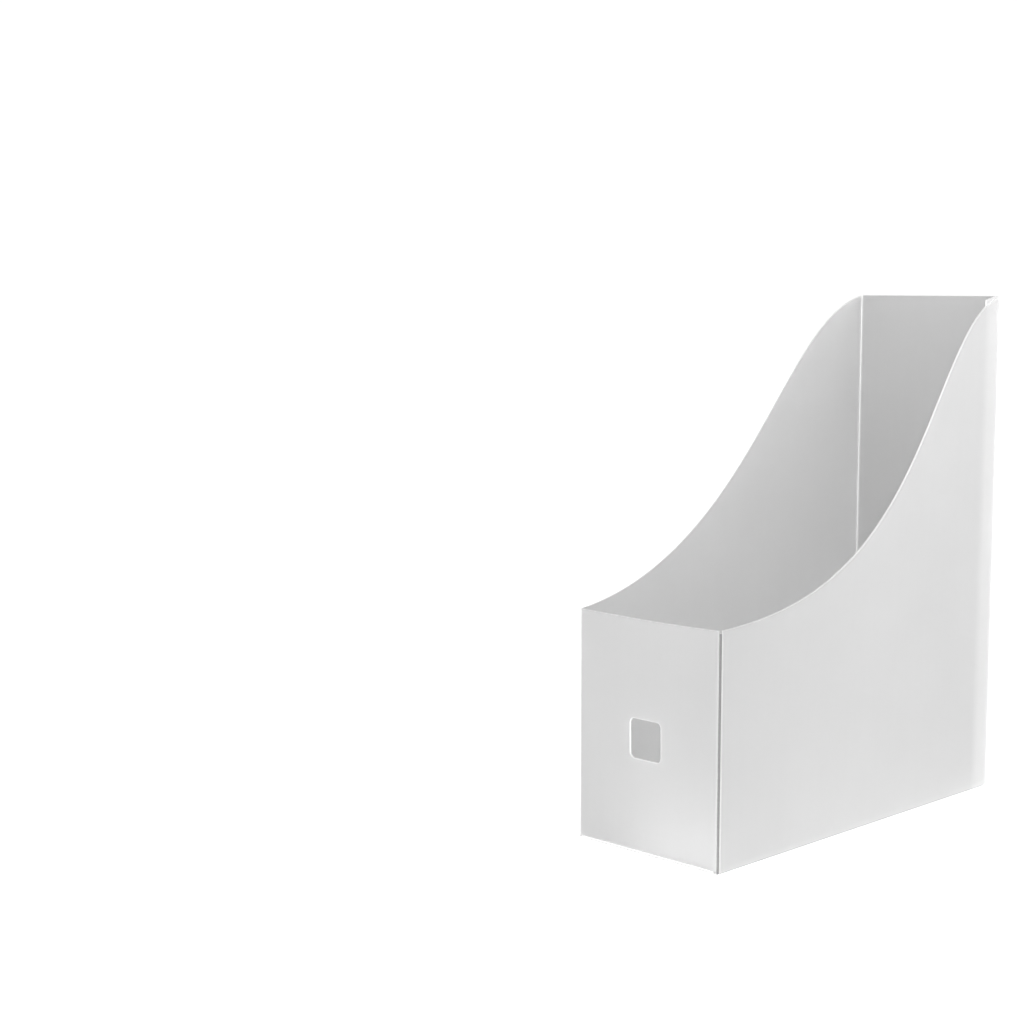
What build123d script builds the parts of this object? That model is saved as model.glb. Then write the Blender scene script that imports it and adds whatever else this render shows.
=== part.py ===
"""Open-topped magazine file holder, creased and folded from one thin plastic sheet.

The sheet is cut and creased once. Each panel between two creases is its own solid, and each
crease is a thin web that joins two panels. X runs across the spine, Y from front to back and
Z up. The origin is on the table, under the middle of the holder.
"""

import os

from build123d import *

os.makedirs("parts", exist_ok=True)

# Driving dimensions, in millimetres
width = 100.0  # outside, across the spine
depth = 260.0  # outside, front to back
back_height = 300.0
front_height = 130.0
sheet = 0.8  # thickness of the plastic sheet

# Creases: a groove is pressed into the outer face, and a thin web is left at the inner face
web = 0.3
crease_half = 0.6  # half the groove's width
crease_relief = 1.5  # a crease stops this far short of a panel's free edge

# The swept edge of both side panels: how hard each end pulls, as shares of the depth
front_pull = 0.64
front_rise = 0.037  # the edge's slope where it leaves the front panel, as rise over depth
back_pull = 0.30
back_rise = 0.055

# Finger hole in the front panel
hole_size = 22.0
hole_radius = 3.0
hole_height = 64.5  # centre of the hole above the table
nib_width = 2.5  # a small nib that the cutting die leaves in the hole's lower edge
nib_height = 0.6

# Seam flap: it folds from the back panel and lies inside the right side panel
flap_width = 16.0
flap_drop = 2.4  # its front top corner is this far below the back panel's top
flap_flat = 3.0  # level stretch of its top edge, beside the crease
flap_radius = 1.0
slot_clearance = 0.5
tab_gap = 0.4  # air between a lock tab's end and the back panel
lock_tabs = ((27.0, 28.0), (106.5, 37.0), (193.0, 28.0))  # middle below the back's top, length

# Bottom closure: a base flap, its tuck tab, and two dust flaps that lie on the base flap
lay_gap = 0.1  # air between the base flap and the dust flaps on it
base_inset = 0.5  # the base flap ends this far inside the front and back faces
base_radius = 4.0
tuck_height = 19.0  # top of the tuck tab above the table
tuck_gap = 0.3  # air between the tuck tab and the left side panel
tuck_inset = 2.5
tuck_radius = 5.0
left_lift = 0.3  # the left side panel's lower edge is this far above the table
dust_depth = 26.0
dust_inset = 2.0
dust_hinge_slope = 2.0  # run along the crease for each step out, beside the base crease
dust_tuck_slope = 0.3  # the same, beside the tuck tab
dust_tuck_gap = 1.5
dust_radius = 3.0

# Inner faces of the four walls, and the levels of the bottom closure
inner_x = width / 2 - sheet
inner_y = depth / 2 - sheet
base_top = sheet
dust_top = base_top + lay_gap + sheet
wall_bottom = dust_top + crease_half
right_bottom = base_top + crease_half
upright_bottom = wall_bottom + crease_relief
flap_inner_x = inner_x - sheet
tuck_inner_x = -inner_x + tuck_gap + sheet


def quarter_ring(corner, outward):
    """Sketch the section of one crease: a quarter ring inside the corner of two inner faces."""
    radius = crease_half + web
    centre = (corner[0] - outward[0] * crease_half, corner[1] - outward[1] * crease_half)
    quadrant = (centre[0] + outward[0] * radius / 2, centre[1] + outward[1] * radius / 2)
    with Locations(centre):
        Circle(radius)
        Circle(crease_half, mode=Mode.SUBTRACT)
    with Locations(quadrant):
        Rectangle(radius, radius, mode=Mode.INTERSECT)


def side_outline(bottom, rear):
    """Sketch a side panel, with its swept upper edge, in Y and Z."""
    front = -depth / 2
    with BuildLine() as outline:
        sweep = Bezier(
            (front, front_height),
            (front + front_pull * depth, front_height + front_rise * depth),
            (depth / 2 - back_pull * depth, back_height - back_rise * depth),
            (depth / 2, back_height),
        )
        Polyline(sweep @ 1, (depth / 2, bottom), (front, bottom), sweep @ 0)
    make_face(outline.edges())
    front_edge = -inner_y + crease_half
    with Locations(((front_edge + rear) / 2, back_height / 2)):
        Rectangle(rear - front_edge, 2 * back_height, mode=Mode.INTERSECT)


def finish(piece, name):
    """Label a finished piece and write it."""
    piece.part.label = name
    export_step(piece.part, f"parts/{name}.step")


# Right side panel: the wall that the seam flap and the base flap belong to. Its lock tabs turn
# the rear corner, lie in the slots of the seam crease and stop short of the back panel.
tab_left = flap_inner_x - crease_half + tab_gap
tab_right = width / 2
with BuildPart() as right_side_panel:
    with BuildSketch(Plane.YZ.offset(inner_x)):
        side_outline(right_bottom, inner_y)
    extrude(amount=sheet)
    with BuildSketch(Plane.XZ.offset(-depth / 2)):
        for tab_drop, tab_length in lock_tabs:
            with Locations(((tab_left + tab_right) / 2, back_height - tab_drop)):
                Rectangle(tab_right - tab_left, tab_length)
    extrude(amount=sheet)
finish(right_side_panel, "right_side_panel")

# Left side panel: its lower edge is free, and the tuck tab stands inside it
with BuildPart() as left_side_panel:
    with BuildSketch(Plane.YZ.offset(-width / 2)):
        side_outline(left_lift, inner_y - crease_half)
    extrude(amount=sheet)
finish(left_side_panel, "left_side_panel")

# Front panel, with the finger hole and its nib
with BuildPart() as front_panel:
    with BuildSketch(Plane.XZ.offset(inner_y)):
        with Locations((0, (wall_bottom + front_height) / 2)):
            Rectangle(2 * (inner_x - crease_half), front_height - wall_bottom)
        with Locations((0, hole_height)):
            RectangleRounded(hole_size, hole_size, hole_radius, mode=Mode.SUBTRACT)
        with Locations((0, hole_height - hole_size / 2)):
            Rectangle(nib_width, 2 * nib_height)
    extrude(amount=sheet)
finish(front_panel, "front_panel")

# Back panel: one sheet narrower on the right, where the seam flap lies inside the side panel
back_left = -inner_x + crease_half
back_right = flap_inner_x - crease_half
with BuildPart() as back_panel:
    with BuildSketch(Plane.XZ.offset(-depth / 2)):
        with Locations(((back_left + back_right) / 2, (wall_bottom + back_height) / 2)):
            Rectangle(back_right - back_left, back_height - wall_bottom)
    extrude(amount=sheet)
finish(back_panel, "back_panel")

# Seam flap, inside the right side panel
flap_front = inner_y + sheet - flap_width
flap_rear = inner_y - crease_half
with BuildPart() as seam_flap:
    with BuildSketch(Plane.YZ.offset(flap_inner_x)) as flap_face:
        with BuildLine():
            Polyline(
                (flap_front, wall_bottom),
                (flap_rear, wall_bottom),
                (flap_rear, back_height),
                (flap_rear - flap_flat, back_height),
                (flap_front, back_height - flap_drop),
                close=True,
            )
        make_face()
        fillet(flap_face.vertices().group_by(Axis.X)[0].sort_by(Axis.Y)[-1], flap_radius)
    extrude(amount=sheet)
finish(seam_flap, "seam_flap")

# Base flap: it folds in from the right side panel and is what the holder stands on
base_half_y = depth / 2 - base_inset
base_left = tuck_inner_x + crease_half
base_right = inner_x - crease_half
with BuildPart() as base_flap:
    with BuildSketch() as base_face:
        with Locations(((base_left + base_right) / 2, 0)):
            Rectangle(base_right - base_left, 2 * base_half_y)
        fillet(base_face.vertices().group_by(Axis.X)[0], base_radius)
    extrude(amount=sheet)
finish(base_flap, "base_flap")

# Tuck tab: it stands up from the base flap's far edge, with 45 degree ends
tuck_bottom = base_top + crease_half
tuck_foot = inner_y - tuck_inset
tuck_crown = tuck_foot - (tuck_height - tuck_bottom)
with BuildPart() as tuck_tab:
    with BuildSketch(Plane.YZ.offset(tuck_inner_x - sheet)) as tuck_face:
        with BuildLine():
            Polyline(
                (-tuck_foot, tuck_bottom),
                (tuck_foot, tuck_bottom),
                (tuck_crown, tuck_height),
                (-tuck_crown, tuck_height),
                close=True,
            )
        make_face()
        fillet(tuck_face.vertices().group_by(Axis.Y)[-1], tuck_radius)
    extrude(amount=sheet)
finish(tuck_tab, "tuck_tab")

# Dust flaps: one on the front panel and one on the back panel, both lying on the base flap
dust_start = inner_x - dust_inset
dust_end = tuck_inner_x + dust_tuck_gap
for dust_name, outward in (("front_dust_flap", -1), ("rear_dust_flap", 1)):
    dust_root = outward * (inner_y - crease_half)
    dust_tip = outward * (inner_y - dust_depth)
    with BuildPart() as dust_flap:
        with BuildSketch(Plane.XY.offset(dust_top - sheet)) as dust_face:
            with BuildLine():
                Polyline(
                    (dust_start - dust_hinge_slope * crease_half, dust_root),
                    (dust_start - dust_hinge_slope * dust_depth, dust_tip),
                    (dust_end + dust_tuck_slope * dust_depth, dust_tip),
                    (dust_end + dust_tuck_slope * crease_half, dust_root),
                    close=True,
                )
            make_face()
            fillet(dust_face.vertices().group_by(Axis.Y)[0 if outward > 0 else -1], dust_radius)
        extrude(amount=sheet)
    finish(dust_flap, dust_name)

# Upright creases between the walls
front_crease_top = front_height - crease_relief
back_crease_top = back_height - crease_relief
for crease_name, corner, outward, crease_top in (
    ("front_right_crease", (inner_x, -inner_y), (1, -1), front_crease_top),
    ("front_left_crease", (-inner_x, -inner_y), (-1, -1), front_crease_top),
    ("back_left_crease", (-inner_x, inner_y), (-1, 1), back_crease_top),
):
    with BuildPart() as upright_crease:
        with BuildSketch(Plane.XY.offset(upright_bottom)):
            quarter_ring(corner, outward)
        extrude(amount=crease_top - upright_bottom)
    finish(upright_crease, crease_name)

# Seam crease between the back panel and the seam flap, slotted where the lock tabs come through
with BuildPart() as seam_crease:
    with BuildSketch(Plane.XY.offset(upright_bottom)):
        quarter_ring((flap_inner_x, inner_y), (1, 1))
    extrude(amount=back_crease_top - upright_bottom)
    for tab_drop, tab_length in lock_tabs:
        with Locations((flap_inner_x, inner_y, back_height - tab_drop)):
            Box(4 * sheet, 4 * sheet, tab_length + 2 * slot_clearance, mode=Mode.SUBTRACT)
finish(seam_crease, "seam_crease")

# Base crease and tuck crease, at the two long edges of the base flap
for crease_name, corner, outward, half_length in (
    ("base_crease", (inner_x, base_top), (1, -1), inner_y - crease_half - crease_relief),
    ("tuck_crease", (tuck_inner_x, base_top), (-1, -1), tuck_foot - crease_relief),
):
    with BuildPart() as long_crease:
        with BuildSketch(Plane.XZ):
            quarter_ring(corner, outward)
        extrude(amount=half_length, both=True)
    finish(long_crease, crease_name)

# Creases between the front and back panels and their dust flaps
dust_crease_left = dust_end + dust_tuck_slope * crease_half
dust_crease_right = dust_start - dust_hinge_slope * crease_half
for crease_name, outward in (("front_dust_crease", -1), ("rear_dust_crease", 1)):
    with BuildPart() as dust_crease:
        with BuildSketch(Plane.YZ.offset(dust_crease_left)):
            quarter_ring((outward * inner_y, dust_top), (outward, -1))
        extrude(amount=dust_crease_right - dust_crease_left)
    finish(dust_crease, crease_name)
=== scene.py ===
# %% [markdown]
# # A frosted magazine file holder, folded from one plastic sheet
#
# The real holder is a single sheet of translucent polypropylene, cut and creased flat, and
# folded up into a box with no lid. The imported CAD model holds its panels, flaps and creases,
# and how they fold. Here each panel is modelled again with what a flat plate can't show: walls
# that bow a little, bright cut edges, and pressed grooves where the sheet folds.
# Everything is in metres, in the CAD model's own frame: X across the spine, Y to the back, Z up.

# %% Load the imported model
import bmesh
import bpy
import math
import numpy as np
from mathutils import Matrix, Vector


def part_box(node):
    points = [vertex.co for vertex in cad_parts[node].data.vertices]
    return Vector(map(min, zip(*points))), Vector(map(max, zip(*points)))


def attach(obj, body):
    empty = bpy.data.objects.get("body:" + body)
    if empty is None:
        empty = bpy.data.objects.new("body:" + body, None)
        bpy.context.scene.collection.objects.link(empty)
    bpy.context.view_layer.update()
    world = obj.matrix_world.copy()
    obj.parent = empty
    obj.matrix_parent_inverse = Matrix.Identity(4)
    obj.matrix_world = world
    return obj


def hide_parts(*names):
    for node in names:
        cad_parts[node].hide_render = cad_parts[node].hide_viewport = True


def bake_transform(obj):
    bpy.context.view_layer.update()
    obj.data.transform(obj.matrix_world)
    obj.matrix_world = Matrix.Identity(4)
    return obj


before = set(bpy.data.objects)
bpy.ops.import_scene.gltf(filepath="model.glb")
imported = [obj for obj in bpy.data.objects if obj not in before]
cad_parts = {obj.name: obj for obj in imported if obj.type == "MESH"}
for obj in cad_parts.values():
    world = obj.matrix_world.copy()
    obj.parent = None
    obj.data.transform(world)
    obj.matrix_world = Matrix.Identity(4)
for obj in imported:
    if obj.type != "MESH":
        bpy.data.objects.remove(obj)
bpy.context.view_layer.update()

# %% [markdown]
# ## Sizes
#
# Every size comes from the CAD nodes. The sheet's thickness is the front panel's, and the four
# corners of the box are where the walls' inner faces meet, which is also where the sheet folds.
# A panel stops short of a fold by half a groove, so that gap is measured too.

# %% Read the sizes that all the pieces share
MM = 0.001
front_low, front_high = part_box("front_panel")
back_low, back_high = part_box("back_panel")
right_low, right_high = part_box("right_side_panel")
left_low, left_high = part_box("left_side_panel")
flap_low, flap_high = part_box("seam_flap")
sheet = front_high.y - front_low.y
inner_x = -left_high.x
inner_y = back_low.y
half_groove = left_low.y + inner_y
print(f"sheet {sheet / MM:.2f} mm, folds at x {inner_x / MM:.1f} and y {inner_y / MM:.1f} mm")

# %% [markdown]
# ## Working in edit mode from a script
#
# An operator acts on whatever is selected, so each step first selects what it means to change.
# By hand that is a click or a box select. In a script it is a test on each point's place, or on
# each face's place and normal, which gives the same selection every time the script runs.

# %% Select by place
def start_edit(piece):
    bpy.ops.object.select_all(action="DESELECT")
    piece.select_set(True)
    bpy.context.view_layer.objects.active = piece
    bpy.ops.object.mode_set(mode="EDIT")


def stop_edit():
    bpy.ops.object.mode_set(mode="OBJECT")


def pick(piece, test):
    """Select the points that pass a test, and the edges and faces between them."""
    mesh = bmesh.from_edit_mesh(piece.data)
    for element in (*mesh.faces, *mesh.edges, *mesh.verts):
        element.select_set(False)
    for vert in mesh.verts:
        vert.select_set(test(vert.co))
    mesh.select_flush(True)
    bmesh.update_edit_mesh(piece.data)


def pick_faces(piece, test):
    """Select the faces whose middle and normal pass a test."""
    mesh = bmesh.from_edit_mesh(piece.data)
    for face in mesh.faces:
        face.select_set(test(face.calc_center_median(), face.normal))
    bmesh.update_edit_mesh(piece.data)


print("selecting by place is ready")

# %% [markdown]
# ## The blank that every panel starts from
#
# A panel could be a thin cube, but a flat grid is easier to shape: it has one layer of points to
# bow and cut, and it gets its thickness last. The grid is turned to face along one axis, and
# scaled to fill the middle plane of the panel's CAD box. Applying the transform puts the place
# into the mesh, so that the object itself stays at the origin, as the CAD nodes do.

# %% Add a blank
TURNS = {"x": (0, math.pi / 2, 0), "y": (math.pi / 2, 0, 0), "z": (0, 0, 0)}


def new_sheet(name, facing, low, high, across=1, up=1):
    """A grid in the middle of the box from low to high, flat along one axis."""
    size = high - low
    scale = {"x": (size.z, size.y, 1), "y": (size.x, size.z, 1), "z": (size.x, size.y, 1)}[facing]
    columns, rows = (up, across) if facing == "x" else (across, up)
    bpy.ops.object.select_all(action="DESELECT")
    bpy.ops.mesh.primitive_grid_add(
        x_subdivisions=columns, y_subdivisions=rows, size=1,
        location=(low + high) / 2, rotation=TURNS[facing],
    )
    piece = bpy.context.object
    piece.scale = scale
    piece.name = piece.data.name = name
    bpy.ops.object.transform_apply(location=True, rotation=True, scale=True)
    return piece


def apply_modifier(piece, kind, **settings):
    bpy.ops.object.select_all(action="DESELECT")
    piece.select_set(True)
    bpy.context.view_layer.objects.active = piece
    modifier = piece.modifiers.new(kind.title(), kind)
    for key, value in settings.items():
        setattr(modifier, key, value)
    bpy.ops.object.modifier_apply(modifier=modifier.name)


def report(piece):
    print(f"{piece.name}: {len(piece.data.vertices)} points, {len(piece.data.polygons)} faces")


print("a blank can face along", ", ".join(TURNS))

# %% [markdown]
# ## Building materials from nodes
#
# Each finish is one Principled shader whose sockets are fed by small patterns. The patterns read
# Object coordinates, so they stay fixed on the plastic and run on from one panel to the next.
# A few helpers keep the recipes short: add a node, link two, sample noise, do a sum.

# %% Node helpers
PLASTIC_IOR = 1.49


def new_material(name, grey, roughness, transmission):
    material = bpy.data.materials.new(name)
    material.use_nodes = True
    shader = material.node_tree.nodes["Principled BSDF"]
    shader.inputs["Base Color"].default_value = (grey, grey, grey, 1)
    shader.inputs["Roughness"].default_value = roughness
    shader.inputs["Transmission Weight"].default_value = transmission
    shader.inputs["IOR"].default_value = PLASTIC_IOR
    return material, shader


def add_node(material, kind, **values):
    node = material.node_tree.nodes.new(kind)
    for key, value in values.items():
        if hasattr(node, key):
            setattr(node, key, value)
        else:
            node.inputs[key].default_value = value
    return node


def link(material, source, target):
    material.node_tree.links.new(source, target)


def glow(shader, strength):
    shader.inputs["Emission Color"].default_value = (1, 1, 1, 1)
    shader.inputs["Emission Strength"].default_value = strength


print("plastic bends light with an index of", PLASTIC_IOR)

# %% [markdown]
# ## Patterns
#
# Noise runs about from 0.3 to 0.7, so Map Range stretches that span to whatever a socket needs.
# A Mapping node squeezes the coordinates along one axis, which draws the noise out into streaks.
# The colour is always a grey times a level near 1, so that a pattern only shades it a little.

# %% Pattern helpers
NOISE_SPAN = (0.3, 0.7)


def object_point(material, stretch=(1, 1, 1)):
    """Object coordinates, stretched along the axes so that a pattern can run one way."""
    place = add_node(material, "ShaderNodeTexCoord")
    mapping = add_node(material, "ShaderNodeMapping")
    mapping.inputs["Scale"].default_value = stretch
    link(material, place.outputs["Object"], mapping.inputs["Vector"])
    return mapping.outputs["Vector"]


def object_axes(material):
    """The X, Y and Z of each point, as three outputs."""
    place = add_node(material, "ShaderNodeTexCoord")
    parts = add_node(material, "ShaderNodeSeparateXYZ")
    link(material, place.outputs["Object"], parts.inputs["Vector"])
    return parts.outputs


def noise(material, point, scale, detail=2.0):
    node = add_node(material, "ShaderNodeTexNoise", Scale=scale, Detail=detail)
    link(material, point, node.inputs["Vector"])
    return node.outputs["Fac"]


def remap(material, value, source, target):
    node = add_node(material, "ShaderNodeMapRange")
    node.inputs["From Min"].default_value, node.inputs["From Max"].default_value = source
    node.inputs["To Min"].default_value, node.inputs["To Max"].default_value = target
    link(material, value, node.inputs["Value"])
    return node.outputs["Result"]


def math_node(material, operation, first, second=0):
    node = add_node(material, "ShaderNodeMath", operation=operation)
    for socket, value in zip(node.inputs, (first, second)):
        if isinstance(value, (int, float)):
            socket.default_value = value
        else:
            link(material, value, socket)
    return node.outputs["Value"]


def shaded_grey(material, grey, level):
    tint = add_node(material, "ShaderNodeVectorMath", operation="SCALE")
    tint.inputs[0].default_value = (grey, grey, grey)
    link(material, level, tint.inputs["Scale"])
    return tint.outputs["Vector"]


print("noise is read from", *NOISE_SPAN)

# %% [markdown]
# ## Where the sheet turns whiter
#
# Polypropylene whitens where it is strained, so a pale hem runs beside every upright fold, and the
# same mask makes the hem glow a little, which is painted light. Each point's distance to the
# nearest fold is simple, because the folds are the box's own corners: it is the larger of its
# distances to the two pairs of walls. Where the seam flap lies behind the sheet, two layers thick,
# the sheet is painted paler, a painted brightening for the light that the flap sends back, and that
# strip fades in over a few millimetres.

# %% Masks for the folds and for the doubled strip
STRIP_FADE = (-2.5 * MM, 5 * MM)


def fold_whitening_and_glow(material, reach):
    """1 at the folds of the box and 0 from reach metres away."""
    axes = object_axes(material)
    beside_x = math_node(material, "SUBTRACT", inner_x, math_node(material, "ABSOLUTE", axes["X"]))
    beside_y = math_node(material, "SUBTRACT", inner_y, math_node(material, "ABSOLUTE", axes["Y"]))
    away = math_node(material, "MAXIMUM", beside_x, beside_y)
    return remap(material, away, (half_groove, half_groove + reach), (1.0, 0.0))


def doubled_strip(material):
    """1 where the seam flap lies behind the right side panel, and 0 elsewhere."""
    axes = object_axes(material)
    on_right = remap(material, axes["X"], (flap_low.x, inner_x), (0.0, 1.0))
    start, end = STRIP_FADE
    at_rear = remap(material, axes["Y"], (flap_low.y + start, flap_low.y + end), (0.0, 1.0))
    return math_node(material, "MULTIPLY", on_right, at_rear)


print(f"the doubled strip is {(inner_y - flap_low.y) / MM:.1f} mm wide")

# %% [markdown]
# ## The frosted sheet
#
# Frosted polypropylene is cloudy all through, with a fine matt grain pressed into both faces.
# Part of the light that falls on it is scattered back, part goes through blurred, and part is
# spread evenly out of the far side. The Principled shader does the first two, by Transmission
# Weight and a high roughness, and a share of Translucent adds the third. Subsurface would also
# scatter light inside the sheet, but nothing behind the sheet would be seen through it.
# Noise gives the faint clouds and the streaks of its rolling, and finer noise the grain.

# %% Make a frosted sheet
FOLD_HEM = 1.2 * MM
# The hems' glow is painted light; their whitening is the plastic's own.
HEM_WHITE, HEM_PAINTED_GLOW = 0.1, 0.06
CLOUD_SCALE, CLOUD_DEPTH = 22.0, 0.008
STREAK_SCALE, STREAK_DEPTH, ALONG_ROLL = 240.0, 0.003, (1, 1, 0.04)
MATT_SCALE, MATT_CHANGE = 60.0, 0.05
GRAIN_SCALE, GRAIN_HEIGHT, GRAIN_STRENGTH = 2600.0, 0.03 * MM, 0.35


def sheet_tone(material, whitening_and_glow, doubled):
    """How light the sheet is at each point: clouds and streaks, whiter folds, and a doubled strip painted
    paler.
    """
    clouds = noise(material, object_point(material), CLOUD_SCALE, detail=4.0)
    streaks = noise(material, object_point(material, ALONG_ROLL), STREAK_SCALE)
    tone = math_node(material, "ADD",
                     remap(material, clouds, NOISE_SPAN, (-CLOUD_DEPTH, CLOUD_DEPTH)),
                     remap(material, streaks, NOISE_SPAN, (-STREAK_DEPTH, STREAK_DEPTH)))
    # The doubled strip is painted paler: a painted brightening for the light that the flap behind sends
    # back.
    white = math_node(material, "ADD", math_node(material, "MULTIPLY", whitening_and_glow, HEM_WHITE),
                      math_node(material, "MULTIPLY", doubled_strip(material), doubled))
    return math_node(material, "ADD", math_node(material, "ADD", tone, white), 1.0)


def add_grain(material, shader, roughness):
    matt = noise(material, object_point(material), MATT_SCALE, detail=5.0)
    span = (roughness - MATT_CHANGE, roughness + MATT_CHANGE)
    link(material, remap(material, matt, NOISE_SPAN, span), shader.inputs["Roughness"])
    grain = noise(material, object_point(material), GRAIN_SCALE, detail=3.0)
    bump = add_node(material, "ShaderNodeBump", Strength=GRAIN_STRENGTH, Distance=GRAIN_HEIGHT)
    link(material, grain, bump.inputs["Height"])
    link(material, bump.outputs["Normal"], shader.inputs["Normal"])


def frosted_sheet(name, grey, transmission, roughness=0.5, spread=0.2, doubled=0.0, also_white_and_glow=None):
    """spread is the Translucent share, and also_white_and_glow a second mask of whitened plastic that also
    gets the painted glow.
    """
    material, shader = new_material(name, grey, roughness, transmission)
    whitening_and_glow = fold_whitening_and_glow(material, FOLD_HEM)
    if also_white_and_glow:
        whitening_and_glow = math_node(material, "MAXIMUM", whitening_and_glow, also_white_and_glow(material))
    colour = shaded_grey(material, grey, sheet_tone(material, whitening_and_glow, doubled))
    link(material, colour, shader.inputs["Base Color"])
    # The whitened hems glow a little by emission: a painted glow, not a lamp.
    glow(shader, 0)
    link(material, remap(material, whitening_and_glow, (0, 1), (0, HEM_PAINTED_GLOW)), shader.inputs["Emission Strength"])
    add_grain(material, shader, roughness)
    through = add_node(material, "ShaderNodeBsdfTranslucent")
    link(material, colour, through.inputs["Color"])
    share = add_node(material, "ShaderNodeMixShader", Fac=spread)
    link(material, shader.outputs["BSDF"], share.inputs[1])
    link(material, through.outputs["BSDF"], share.inputs[2])
    output = material.node_tree.nodes["Material Output"]
    link(material, share.outputs["Shader"], output.inputs["Surface"])
    return material


print(f"grain {GRAIN_HEIGHT / MM:.2f} mm deep, folds whiter for {FOLD_HEM / MM:.1f} mm")

# %% [markdown]
# ## One plastic, four settings
#
# It is one sheet all over, but its parts stand in different light: a wall has bright air on one
# side, while the back, the flaps and the bottom have another layer or the table behind them. The
# light that wanders about inside the plastic isn't simulated, so the amounts are set for each, and
# the back's darker grey is painted shade.

# %% The four frosted sheets
WALL = {"grey": 0.9, "transmission": 0.42, "roughness": 0.42, "spread": 0.25}
wall_sheet = frosted_sheet("frosted_wall_sheet", **WALL, doubled=0.13)
back_sheet = frosted_sheet("frosted_back_sheet", grey=0.8, transmission=0.25)
flap_sheet = frosted_sheet("frosted_flap_sheet", grey=0.88, transmission=0.1, spread=0.1)
base_sheet = frosted_sheet("frosted_base_sheet", grey=0.9, transmission=0.55, roughness=0.42)
print("made", wall_sheet.name, back_sheet.name, flap_sheet.name, base_sheet.name)

# %% [markdown]
# ## Cut edges and pressed grooves
#
# Light that enters the faces travels inside the sheet and leaves at its cut edges, so every edge
# shines as a thin white line. A little emission does that. Outside, a fold is a narrow pressed
# groove, dull and dark because hardly any light finds its way out of it, and that shade is painted
# into the groove's dark grey. Inside, the thin web that is left has been strained white by the bend,
# and a little emission adds a painted glow to it. Rims that face a groove are pressed, not cut.

# %% Make the edge and groove finishes
def streaked_finish(name, grey, roughness, along, scale, shade, matt_change=0.0, emission=0.0,
                    detail=2.0):
    material, shader = new_material(name, grey, roughness, 0.0)
    marks = noise(material, object_point(material, along), scale, detail)
    colour = shaded_grey(material, grey, remap(material, marks, NOISE_SPAN, shade))
    link(material, colour, shader.inputs["Base Color"])
    if matt_change:
        span = (roughness - matt_change, roughness + matt_change)
        link(material, remap(material, marks, NOISE_SPAN, span), shader.inputs["Roughness"])
    if emission:
        glow(shader, emission)
    return material


def web_finish(name, grey, emission=0.0):
    """Ripples of the press run up the groove."""
    return streaked_finish(name, grey, 0.5, (0.2, 0.2, 1), 700.0, (0.95, 1.05), matt_change=0.06,
                           emission=emission)


cut_edge = streaked_finish("bright_cut_edge", 0.97, 0.35, (1, 1, 0.2), 900.0, (0.94, 1.0),
                           emission=0.45, detail=3.0)
pressed_rim = web_finish("pressed_rim", 0.85)
# The groove's dark grey is painted shade, and the strained web's emission is a painted glow.
groove_painted_shade = web_finish("groove_painted_shade", 0.3)
strained_web_and_glow = web_finish("strained_web_and_glow", 0.93, emission=0.25)
print("made", cut_edge.name, pressed_rim.name, groove_painted_shade.name, strained_web_and_glow.name)

# %% [markdown]
# ## From a blank to a panel
#
# Each blank lies in the middle of the sheet's thickness. Solidify gives it the thickness, and
# puts the second material on the rim, which is the cut edge. A tiny bevel then rounds the rim,
# as the cutting die leaves it, so that it catches the light. Extruding the faces would give the
# same plate, but Solidify keeps the thickness even where the wall is bowed.

# %% Thicken and round a blank
EDGE_ROUND = 0.1 * MM
SHARP = math.radians(50)
SMOOTH = math.radians(35)


def give_thickness(piece, face_material):
    piece.data.materials.append(face_material)
    piece.data.materials.append(cut_edge)
    apply_modifier(piece, "SOLIDIFY", thickness=sheet, offset=0, material_offset_rim=1)


def press_rims(piece, test):
    """Give the rims that a groove is pressed against their own finish."""
    piece.data.materials.append(pressed_rim)
    start_edit(piece)
    bpy.ops.mesh.select_all(action="DESELECT")
    pick_faces(piece, test)
    piece.active_material_index = len(piece.data.materials) - 1
    bpy.ops.object.material_slot_assign()
    stop_edit()


def round_rim(piece):
    apply_modifier(piece, "BEVEL", width=EDGE_ROUND, segments=2, limit_method="ANGLE", angle_limit=SHARP)
    bpy.ops.object.shade_smooth_by_angle(angle=SMOOTH)
    report(piece)


def thicken(piece, face_material, at_fold=None):
    give_thickness(piece, face_material)
    if at_fold:
        press_rims(piece, at_fold)
    round_rim(piece)


def stand_for(piece, node, body):
    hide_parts(node)
    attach(piece, body)


print(f"a panel is {sheet / MM:.1f} mm thick, with edges rounded by {EDGE_ROUND / MM:.1f} mm")

# %% [markdown]
# ## The sweep of the side panels
#
# A side panel is highest at the back, and its upper edge sweeps down to the low front. The CAD
# node already holds that curve, so its height is read from the node's points: the highest point
# at each depth, joined by straight steps that are too short to see.

# %% Read the sweep
def sweep_points(node):
    top = {}
    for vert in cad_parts[node].data.vertices:
        y = round(vert.co.y, 5)
        top[y] = max(vert.co.z, top.get(y, -1))
    heights = np.array(sorted((y, z) for y, z in top.items() if z > front_high.z - MM))
    return heights[:, 0], heights[:, 1]


sweep_y, sweep_z = sweep_points("left_side_panel")


def sweep_height(y):
    return float(np.interp(y, sweep_y, sweep_z))


print(f"the sweep climbs from {sweep_z[0] / MM:.1f} to {sweep_z[-1] / MM:.1f} mm")

# %% [markdown]
# ## How the sides bow
#
# The free edge of a side is held only at its two ends, and the sheet springs outwards between
# them. The bow is nothing at the folds and at the base, and fullest near the middle of the free
# edge. A vertex group holds each point's share of it, and a Displace modifier pushes the points
# that far. Proportional editing would do it by hand, but a formula keeps both sides equal.

# %% How far each point of a side stands out
SIDE_BOW = 10 * MM
BOW_SKEW = 0.893
BOW_SHARPNESS = 1.2
BOW_RISE = 1.3


def share_between(value, start, end):
    return min(max((value - start) / (end - start), 0), 1)


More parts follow.
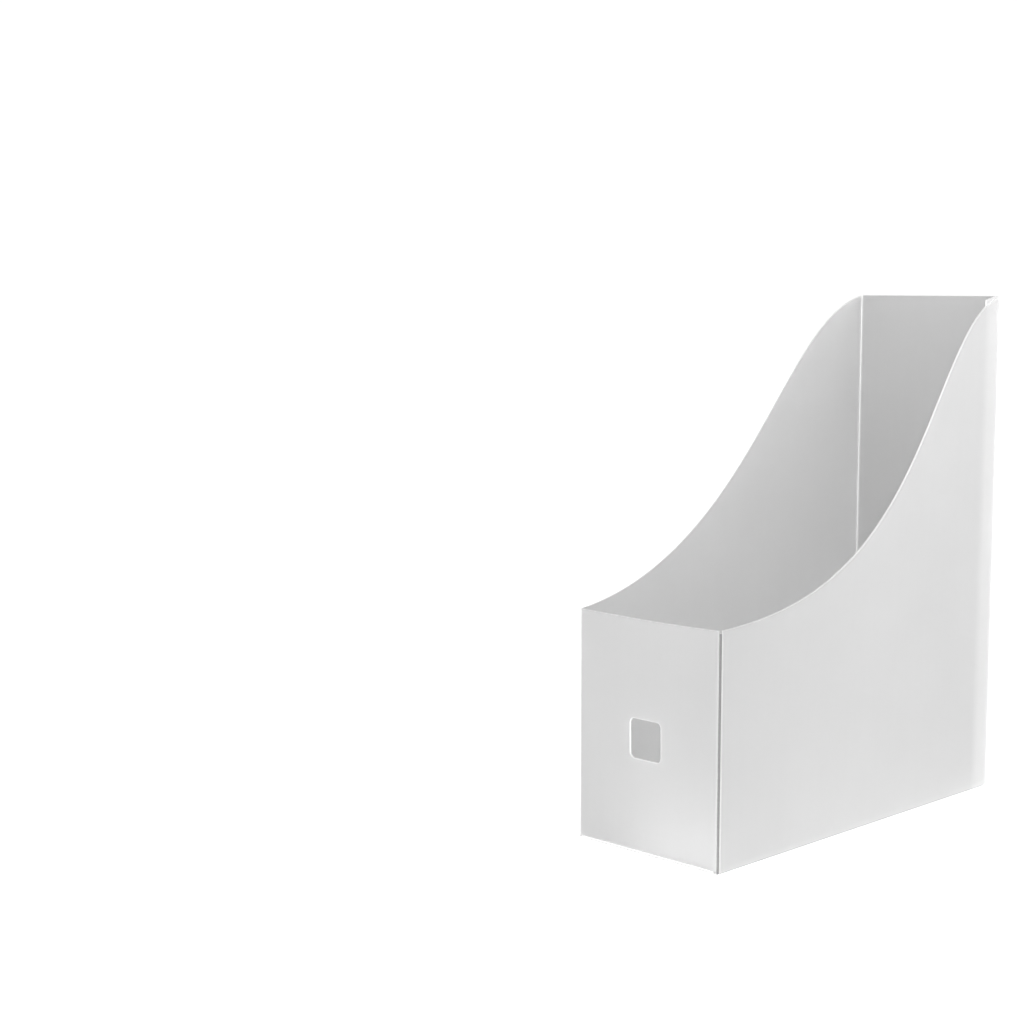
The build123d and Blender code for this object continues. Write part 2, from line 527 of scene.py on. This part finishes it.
def side_bow(co):
    """How far a side panel stands out at a point, as a share of SIDE_BOW."""
    along = share_between(co.y, -left_high.y, left_high.y) ** BOW_SKEW
    rise = share_between(co.z, 0, sweep_height(co.y))
    return max(math.sin(math.pi * along), 0) ** BOW_SHARPNESS * rise ** BOW_RISE


def push(piece, share, direction, distance):
    """Bow a piece along an axis by distance, times what share gives at each point."""
    group = piece.vertex_groups.new(name="bow")
    for vert in piece.data.vertices:
        group.add([vert.index], share(vert.co), "REPLACE")
    apply_modifier(piece, "DISPLACE", vertex_group="bow", direction=direction,
                   strength=distance, mid_level=0)
    piece.vertex_groups.clear()


print(f"the sides bow {SIDE_BOW / MM:.0f} mm at the most")

# %% [markdown]
# ## The side panels
#
# The blank starts as a grid one unit high, and each of its columns is stretched up from the
# bottom to the sweep, which keeps the rows flowing along the edge. Cutting the sweep out of a
# plain grid would leave a ragged row of faces there. The left side's lower edge is free, and the
# right one's is folded over to the base, so only the right one has a pressed rim below.

# %% Make the two side panels
COLUMNS = 90
ROWS = 36


def side_panel(name, low, high):
    one_unit_high = Vector((high.x, high.y, low.z + 1))
    piece = new_sheet(name, "x", low, one_unit_high, across=COLUMNS, up=ROWS)
    step = (high.y - low.y) / COLUMNS
    start_edit(piece)
    for column in range(COLUMNS + 1):
        y = low.y + column * step
        pick(piece, lambda co: abs(co.y - y) < step / 4)
        foot = ((low.x + high.x) / 2, y, low.z)
        bpy.ops.transform.resize(value=(1, 1, sweep_height(y) - low.z), center_override=foot)
    stop_edit()
    return piece


left_side = side_panel("left_side_sheet", left_low, left_high)
push(left_side, side_bow, "X", -SIDE_BOW)
thicken(left_side, wall_sheet, at_fold=lambda at, normal: abs(normal.y) > 0.9 and abs(normal.x) < 0.3)
stand_for(left_side, "left_side_panel", "left_side")

right_side = side_panel("right_side_sheet", Vector((inner_x, right_low.y, right_low.z)),
                        Vector((right_high.x, inner_y, right_high.z)))
push(right_side, side_bow, "X", SIDE_BOW)
thicken(right_side, wall_sheet, at_fold=lambda at, normal: abs(normal.y) > 0.9 or normal.z < -0.9)
stand_for(right_side, "right_side_panel", "right_side")

# %% [markdown]
# ## The seam flap
#
# The back panel's last strip is folded round the rear right corner and lies inside the right
# side panel, where it shows through as a paler band. Its top is cut on a slant, and Bisect cuts
# a blank along exactly one plane. The flap bows with the side panel, and a sliver of air keeps
# the two faces apart, because two faces in one place would flicker.

# %% Make the seam flap
AIR = 0.06 * MM
flap_points = [vert.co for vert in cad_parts["seam_flap"].data.vertices]
slant_low = max(point.z for point in flap_points if point.y < flap_low.y + 2 * MM)
slant_end = min(point.y for point in flap_points if point.z > flap_high.z - AIR)
slant = Vector((0, slant_end - flap_low.y, flap_high.z - slant_low)).normalized()

seam_flap = new_sheet("seam_flap_sheet", "x", flap_low, flap_high, across=8, up=60)
start_edit(seam_flap)
bpy.ops.mesh.select_all(action="SELECT")
bpy.ops.mesh.bisect(plane_co=(flap_low.x, slant_end, flap_high.z),
                    plane_no=(0, -slant.z, slant.y), clear_outer=True)
bpy.ops.mesh.select_all(action="SELECT")
bpy.ops.transform.translate(value=(-AIR, 0, 0))
stop_edit()
push(seam_flap, side_bow, "X", SIDE_BOW)
thicken(seam_flap, flap_sheet, at_fold=lambda at, normal: normal.y > 0.9)
stand_for(seam_flap, "seam_flap", "right_side")

# %% [markdown]
# ## The lock tabs
#
# Three short tabs of the right side panel turn the rear corner and lock into slots in the
# seam's crease. Their heights are read from the CAD node. One tab is modelled, a block with its
# outer corner rounded where the sheet bends. The others are copies, moved to their own slots and
# stretched by their upper half, so that the rounded corner keeps its shape.

# %% Make the lock tabs
TAB_BEND = 0.5 * MM
tab_points = [vert.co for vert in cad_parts["right_side_panel"].data.vertices
              if vert.co.x < inner_x - sheet / 4]
tab_left = min(point.x for point in tab_points)
levels = sorted({round(point.z, 5) for point in tab_points})
tab_spans = list(zip(levels[::2], levels[1::2]))
first_low, first_high = tab_spans[0]

bpy.ops.object.select_all(action="DESELECT")
bpy.ops.mesh.primitive_cube_add(
    size=1,
    location=((tab_left + right_high.x) / 2, inner_y + sheet / 2, (first_low + first_high) / 2),
    scale=(right_high.x - tab_left, sheet, first_high - first_low))
first_tab = bpy.context.object
bpy.ops.object.transform_apply(location=True, rotation=True, scale=True)
start_edit(first_tab)
pick(first_tab, lambda co: co.x > inner_x and co.y > inner_y + sheet / 2)
bpy.ops.mesh.bevel(offset=TAB_BEND, segments=5, affect="EDGES")
stop_edit()
first_tab.data.materials.append(cut_edge)
round_rim(first_tab)

lock_tabs = [first_tab]
for low_z, high_z in tab_spans[1:]:
    bpy.ops.object.select_all(action="DESELECT")
    first_tab.select_set(True)
    bpy.context.view_layer.objects.active = first_tab
    bpy.ops.object.duplicate(linked=False)
    tab = bpy.context.object
    start_edit(tab)
    bpy.ops.mesh.select_all(action="SELECT")
    bpy.ops.transform.translate(value=(0, 0, low_z - first_low))
    pick(tab, lambda co: co.z > low_z + (first_high - first_low) / 2)
    bpy.ops.transform.translate(value=(0, 0, (high_z - low_z) - (first_high - first_low)))
    stop_edit()
    lock_tabs.append(tab)

for number, tab in enumerate(lock_tabs, 1):
    tab.name = tab.data.name = f"lock_tab_{number}"
    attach(tab, "right_side")
print("lock tabs:", [(round(low_z / MM), round(high_z / MM)) for low_z, high_z in tab_spans])

# %% [markdown]
# ## Where the finger hole is
#
# The low front carries a square finger hole with round corners. The CAD node gives its box. A
# die has stamped it, and stamping strains the plastic, so a thin white line runs round the hole.
# The line also glows a little, which is painted light.
# The mask for that line is the distance to a rounded square: how far a point is past the straight
# part in X and in Z, as the two legs of a right triangle.

# %% Measure the hole, and make the front's sheet
HOLE_ROUND = 3 * MM
HOLE_WHITE = 0.5 * MM
MARGIN = 9 * MM
DIE_REACH = 5 * MM
rim = [vert.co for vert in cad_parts["front_panel"].data.vertices
       if abs(vert.co.x) < front_high.x / 2
       and front_low.z + MARGIN < vert.co.z < front_high.z - MARGIN]
hole_low = Vector((min(point.x for point in rim), front_low.y - DIE_REACH, min(point.z for point in rim)))
hole_high = Vector((max(point.x for point in rim), front_high.y + DIE_REACH, max(point.z for point in rim)))


def hole_whitening_and_glow(material):
    """1 at the edge of the finger hole and 0 from HOLE_WHITE away."""
    axes = object_axes(material)
    squares = []
    for letter in "xz":
        middle = (getattr(hole_low, letter) + getattr(hole_high, letter)) / 2
        straight = getattr(hole_high, letter) - middle - HOLE_ROUND
        offset = math_node(material, "SUBTRACT", axes[letter.upper()], middle)
        past = math_node(material, "SUBTRACT", math_node(material, "ABSOLUTE", offset), straight)
        squares.append(math_node(material, "POWER", math_node(material, "MAXIMUM", past), 2))
    away = math_node(material, "SQRT", math_node(material, "ADD", *squares))
    return remap(material, away, (HOLE_ROUND + HOLE_WHITE / 2, HOLE_ROUND + HOLE_WHITE), (1.0, 0.0))


front_sheet = frosted_sheet("frosted_front_sheet", **WALL, also_white_and_glow=hole_whitening_and_glow)
print(f"hole {(hole_high.x - hole_low.x) / MM:.1f} x {(hole_high.z - hole_low.z) / MM:.1f} mm")

# %% [markdown]
# ## The die that cuts the hole
#
# The hole is cut as the real one is, by a die: a block with four rounded edges, as large as the
# hole and long enough to reach well past both faces of the sheet. Bevel rounds only the edges that
# run through the sheet, picked by their length along Y.

# %% Make the die
bpy.ops.object.select_all(action="DESELECT")
bpy.ops.mesh.primitive_cube_add(size=1, location=(hole_low + hole_high) / 2, scale=hole_high - hole_low)
die = bpy.context.object
die.name = "hole_die"
bpy.ops.object.transform_apply(location=True, rotation=True, scale=True)
start_edit(die)
mesh = bmesh.from_edit_mesh(die.data)
for edge in mesh.edges:
    edge.select_set(abs(edge.verts[0].co.y - edge.verts[1].co.y) > DIE_REACH)
bmesh.update_edit_mesh(die.data)
bpy.ops.mesh.bevel(offset=HOLE_ROUND, segments=8, affect="EDGES")
stop_edit()
die.data.materials.append(cut_edge)
report(die)

# %% [markdown]
# ## The front panel
#
# The front is bowed a little and gets its thickness first. Then a Boolean takes the die away
# from it, and the cut faces keep the die's material, which is the cut edge's. Cutting before
# thickening would need a hole in the grid whose edge follows the round corners.

# %% Make the front panel
FRONT_BOW = 2.5 * MM
FRONT_SKEW = 1.25
FRONT_RISE = 0.8


def front_bow(co):
    across = share_between(co.x, -front_high.x, front_high.x) ** FRONT_SKEW
    rise = share_between(co.z, front_low.z, front_high.z)
    return math.sin(math.pi * across) * rise ** FRONT_RISE


front = new_sheet("front_sheet", "y", front_low, front_high, across=48, up=60)
push(front, front_bow, "Y", -FRONT_BOW)
give_thickness(front, front_sheet)
apply_modifier(front, "BOOLEAN", object=die, operation="DIFFERENCE", solver="EXACT",
               material_mode="TRANSFER")
bpy.data.objects.remove(die)
press_rims(front, lambda at, normal: abs(at.x) > front_high.x - MM and abs(normal.x) > 0.9
           or at.z < front_low.z + MM and normal.z < -0.9)
round_rim(front)
stand_for(front, "front_panel", "front")

# %% [markdown]
# ## The back panel
#
# The back is a plain tall rectangle, one sheet's thickness narrower on the right, where the seam
# flap lies inside the side panel. It is held along three edges and stands nearly flat, so a very
# small bow is enough to keep it from looking like a pane of glass.

# %% Make the back panel
BACK_BOW = 1.2 * MM
BACK_SHARPNESS = 1.2
BACK_RISE = 1.5


def back_bow(co):
    across = share_between(co.x, back_low.x, back_high.x)
    rise = share_between(co.z, back_low.z, back_high.z)
    return max(math.sin(math.pi * across), 0) ** BACK_SHARPNESS * rise ** BACK_RISE


back = new_sheet("back_sheet", "y", back_low, back_high, across=32, up=80)
push(back, back_bow, "Y", BACK_BOW)
thicken(back, back_sheet, at_fold=lambda at, normal: abs(normal.x) > 0.9 or normal.z < -0.9)
stand_for(back, "back_panel", "back")

# %% [markdown]
# ## The base flap
#
# The base folds in from the right side and is what the holder stands on. It is one face. Its two
# free corners are rounded as the die cuts them, by a bevel on the points instead of the edges.

# %% Make the base flap
BASE_ROUND = 4 * MM
base_low, base_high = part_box("base_flap")
base = new_sheet("base_sheet", "z", base_low, base_high)
start_edit(base)
pick(base, lambda co: co.x < 0)
bpy.ops.mesh.bevel(offset=BASE_ROUND, segments=6, affect="VERTICES")
stop_edit()
thicken(base, base_sheet)
stand_for(base, "base_flap", "base")

# %% [markdown]
# ## The tuck tab
#
# The base's far edge turns up as a tab that stands inside the left side and holds it. Its ends
# are cut at 45 degrees, so its upper edge is shorter than its lower one by its own height at each
# end. Scaling the upper points about their middle gives that, and a bevel rounds the corners.

# %% Make the tuck tab
TUCK_BEVEL = 2.1 * MM
tuck_low, tuck_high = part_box("tuck_tab")
tuck_top = Vector(((tuck_low.x + tuck_high.x) / 2, 0, tuck_high.z))
crown = (tuck_high.y - (tuck_high.z - tuck_low.z)) / tuck_high.y
tuck = new_sheet("tuck_tab_sheet", "x", tuck_low, tuck_high)
start_edit(tuck)
pick(tuck, lambda co: co.z > (tuck_low.z + tuck_high.z) / 2)
bpy.ops.transform.resize(value=(1, crown, 1), center_override=tuck_top)
bpy.ops.mesh.bevel(offset=TUCK_BEVEL, segments=6, affect="VERTICES")
stop_edit()
thicken(tuck, flap_sheet)
stand_for(tuck, "tuck_tab", "tuck")

# %% [markdown]
# ## The dust flaps
#
# Two short flaps fold in from the front and the back and lie on the base. Both ends are slanted,
# steeply beside the base's own crease, so that they clear each other as they close, and slightly
# beside the tuck tab. A slant is the far corner moved sideways, by the slope times the length.

# %% Make the two dust flaps
CREASE_SLOPE = 2.0
TUCK_SLOPE = 0.3
DUST_BEVEL = 2 * MM


def dust_flap(name, node, body):
    low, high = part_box(node)
    length = high.y - low.y
    tip = high.y if low.y < 0 else low.y
    piece = new_sheet(name, "z", low, high)
    start_edit(piece)
    for beside_crease, shift in ((True, -CREASE_SLOPE * length), (False, TUCK_SLOPE * length)):
        pick(piece, lambda co: abs(co.y - tip) < MM and (co.x > 0) == beside_crease)
        bpy.ops.transform.translate(value=(shift, 0, 0))
    pick(piece, lambda co: abs(co.y - tip) < MM)
    bpy.ops.mesh.bevel(offset=DUST_BEVEL, segments=5, affect="VERTICES")
    stop_edit()
    thicken(piece, base_sheet)
    stand_for(piece, node, body)


dust_flap("front_dust_sheet", "front_dust_flap", "front_dust")
dust_flap("rear_dust_sheet", "rear_dust_flap", "rear_dust")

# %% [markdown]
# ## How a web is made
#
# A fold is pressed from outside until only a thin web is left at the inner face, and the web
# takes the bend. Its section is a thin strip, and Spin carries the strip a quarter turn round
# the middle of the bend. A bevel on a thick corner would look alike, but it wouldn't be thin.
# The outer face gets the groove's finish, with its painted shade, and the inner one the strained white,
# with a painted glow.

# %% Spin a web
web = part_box("front_right_crease")[1].x - inner_x
WEB_STEPS = 8


def web_strip(centre, first, along, node_low, node_high):
    """The low and high corners of the strip that the spin starts from."""
    ends = []
    for reach, end in ((half_groove, node_low), (half_groove + web, node_high)):
        place = centre + first * reach
        ends.append([end[i] if abs(along[i]) > 0.5 else place[i] for i in range(3)])
    return (Vector([min(pair) for pair in zip(*ends)]), Vector([max(pair) for pair in zip(*ends)]))


def spun_web(name, node, corner, first, second, groove=groove_painted_shade, foot=None):
    """A web round a corner where two inner faces meet, whose outward normals are given."""
    first, second = Vector(first), Vector(second)
    along = first.cross(second)
    centre = Vector(corner) - (first + second) * half_groove
    node_low, node_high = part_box(node)
    if foot:
        node_low.z = foot
    facing = "xyz"[max(range(3), key=lambda i: abs(second[i]))]
    piece = new_sheet(name, facing, *web_strip(centre, first, along, node_low, node_high))
    piece.data.materials.append(groove)
    piece.data.materials.append(strained_web_and_glow)

    def from_axis(co):
        out = co - centre
        return (out - along * out.dot(along)).length

    start_edit(piece)
    bpy.ops.mesh.select_all(action="SELECT")
    bpy.ops.mesh.spin(steps=WEB_STEPS, angle=-math.pi / 2, center=centre, axis=along)
    bpy.ops.mesh.select_all(action="SELECT")
    bpy.ops.mesh.remove_doubles(threshold=0.01 * MM)
    bpy.ops.mesh.normals_make_consistent(inside=False)
    pick(piece, lambda co: from_axis(co) < half_groove + web / 2)
    piece.active_material_index = 1
    bpy.ops.object.material_slot_assign()
    stop_edit()
    bpy.ops.object.shade_smooth_by_angle(angle=SMOOTH)
    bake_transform(piece)
    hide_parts(node)
    report(piece)


print(f"a web is {web / MM:.1f} mm thick, under a groove {2 * half_groove / MM:.1f} mm wide")

# %% [markdown]
# ## The upright webs
#
# Three of the box's upright corners are plain folds, and the fourth has the lock tabs. The plain
# grooves run down to the bottom of the walls, so their webs reach to just above the base flap.

# %% Make the upright webs
RIGHT, LEFT, FRONT, REAR, DOWN = (1, 0, 0), (-1, 0, 0), (0, -1, 0), (0, 1, 0), (0, 0, -1)
base_top = base_high.z
WEB_FOOT = base_top + 0.1 * MM
for place, x, y, first, second, bodies in (
    ("front_right", inner_x, -inner_y, RIGHT, FRONT, ("right_side", "front")),
    ("front_left", -inner_x, -inner_y, FRONT, LEFT, ("front", "left_side")),
    ("back_left", -inner_x, inner_y, LEFT, REAR, ("left_side", "back")),
):
    spun_web(f"{place}_web", f"{place}_crease", (x, y, 0), first, second, foot=WEB_FOOT)

# %% [markdown]
# ## The webs of the bottom
#
# The base hangs on the right side by a long web, and the tuck tab on the base by another. The
# dust flaps hang on the front and the back by shorter ones, whose grooves face down, where the
# base hides them, so they are as pale as a pressed rim.

# %% Make the webs of the bottom
dust_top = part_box("front_dust_flap")[1].z
spun_web("base_web", "base_crease", (inner_x, 0, base_top), RIGHT, DOWN)
spun_web("tuck_web", "tuck_crease", (tuck_high.x, 0, base_top), DOWN, LEFT)
for place, y, outward, wall in (("front", -inner_y, FRONT, "front"), ("rear", inner_y, REAR, "back")):
    spun_web(f"{place}_dust_web", f"{place}_dust_crease", (0, y, dust_top), outward, DOWN,
             groove=pressed_rim)

# %% [markdown]
# ## The seam's web
#
# The web between the back panel and the seam flap is slotted for the lock tabs. Its CAD shape
# is right as it is, so it stays and only gets the strained web's finish, white with a painted glow.

# %% Give the seam's web its finish
seam_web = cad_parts["seam_crease"]
seam_web.data.materials.clear()
seam_web.data.materials.append(strained_web_and_glow)
print("seam web:", len(seam_web.data.polygons), "faces")

# %% [markdown]
# ## The floor
#
# A pale floor with a faint mottle. It glows a little, like a lit table, because a translucent
# box is lit from below as much as from above, and that keeps its lower walls bright. It reaches
# so far that its edge is lost in the white horizon.

# %% Make the floor
FLOOR_RADIUS = 6
FLOOR_DROP = 0.1 * MM
FLOOR_GREY = 0.92
FLOOR_GLOW = 1.05
bpy.ops.object.select_all(action="DESELECT")
bpy.ops.mesh.primitive_circle_add(vertices=96, radius=FLOOR_RADIUS, fill_type="NGON",
                                  location=(0, 0, -FLOOR_DROP))
floor = bpy.context.object
floor.name = "studio_floor"
floor_paint, floor_shader = new_material("pale_floor", FLOOR_GREY, 0.6, 0.0)
mottle = remap(floor_paint, noise(floor_paint, object_point(floor_paint), 9.0, detail=3.0),
               NOISE_SPAN, (0.99, 1.01))
link(floor_paint, shaded_grey(floor_paint, FLOOR_GREY, mottle), floor_shader.inputs["Base Color"])
glow(floor_shader, FLOOR_GLOW)
floor.data.materials.append(floor_paint)
print("floor", 2 * FLOOR_RADIUS, "m across")

# %% [markdown]
# ## The white studio
#
# The world is white all round and dims towards the ceiling. An even white dome would light the
# inside of the box as brightly as the outside, and the two would look alike. The height of a
# direction, its Z, is mapped to the strength.

# %% Make the world
HORIZON, CEILING = 1.02, 0.1
DIM_FROM, DIM_TO = 0.145, 0.45
world = bpy.data.worlds.new("white_studio")
world.use_nodes = True
sky = world.node_tree.nodes
aim = sky.new("ShaderNodeTexCoord")
split = sky.new("ShaderNodeSeparateXYZ")
dome = sky.new("ShaderNodeMapRange")
dome.inputs["From Min"].default_value, dome.inputs["From Max"].default_value = DIM_FROM, DIM_TO
dome.inputs["To Min"].default_value, dome.inputs["To Max"].default_value = HORIZON, CEILING
world.node_tree.links.new(aim.outputs["Generated"], split.inputs["Vector"])
world.node_tree.links.new(split.outputs["Z"], dome.inputs["Value"])
world.node_tree.links.new(dome.outputs["Result"], sky["Background"].inputs["Strength"])
sky["Background"].inputs["Color"].default_value = (1, 1, 1, 1)
bpy.context.scene.world = world
bpy.context.scene.view_settings.view_transform = "Standard"
print("world from", HORIZON, "at the horizon to", CEILING, "overhead")

# %% [markdown]
# ## The soft boxes
#
# Three lamps shape the even light. A large one in front lifts the front and the right side. A
# smaller one by the rear right corner brightens the tall end of the side. A little one lies on
# the table just before the low front and shines straight up, past the front's lower edge.

# %% Place the soft boxes
def soft_box(name, place, size, power, target):
    bpy.ops.object.light_add(type="AREA", location=place)
    lamp = bpy.context.object
    lamp.name = name
    lamp.rotation_euler = (Vector(target) - Vector(place)).to_track_quat("-Z", "Y").to_euler()
    lamp.data.shape = "SQUARE"
    lamp.data.size = size
    lamp.data.energy = power
    lamp.visible_camera = False
    print(f"{name}: {size} m, {power} W")


HEART = (0, 0, 0.12)
soft_box("key_soft_box", (0.7, -1.8, 0.9), 1.4, 6.5, HEART)
soft_box("rear_soft_box", (0.35, 0.25, 0.5), 0.4, 0.9, HEART)
soft_box("floor_soft_box", (0.03, -0.175, 0.001), 0.08, 0.014, (0.03, -0.175, 1))

# %% [markdown]
# ## The camera
#
# The camera looks at the low front and the right side from just above the rim, with a long lens
# that keeps the uprights nearly parallel. It has no shift, so other views can turn it freely,
# and the holder stands to the right of the middle. Its angles give the direction that it looks
# along, and a track quaternion turns the camera that way with its top up.

# %% Place the camera
AZIMUTH, ELEVATION = math.radians(45.32), math.radians(6.766)
CAMERA_PLACE = (0.67109, -0.89726, 0.30967)
SENSOR, LENS = 36, 68.375
backwards = Vector((math.sin(AZIMUTH) * math.cos(ELEVATION),
                    -math.cos(AZIMUTH) * math.cos(ELEVATION), math.sin(ELEVATION)))
camera_data = bpy.data.cameras.new("catalogue_camera")
camera_data.sensor_width = SENSOR
camera_data.lens = LENS
camera = bpy.data.objects.new("catalogue_camera", camera_data)
camera.location = CAMERA_PLACE
camera.rotation_euler = (-backwards).to_track_quat("-Z", "Y").to_euler()
bpy.context.scene.collection.objects.link(camera)
bpy.context.scene.camera = camera
print(f"camera {camera.location.length:.2f} m from the holder's foot, lens {LENS} mm")
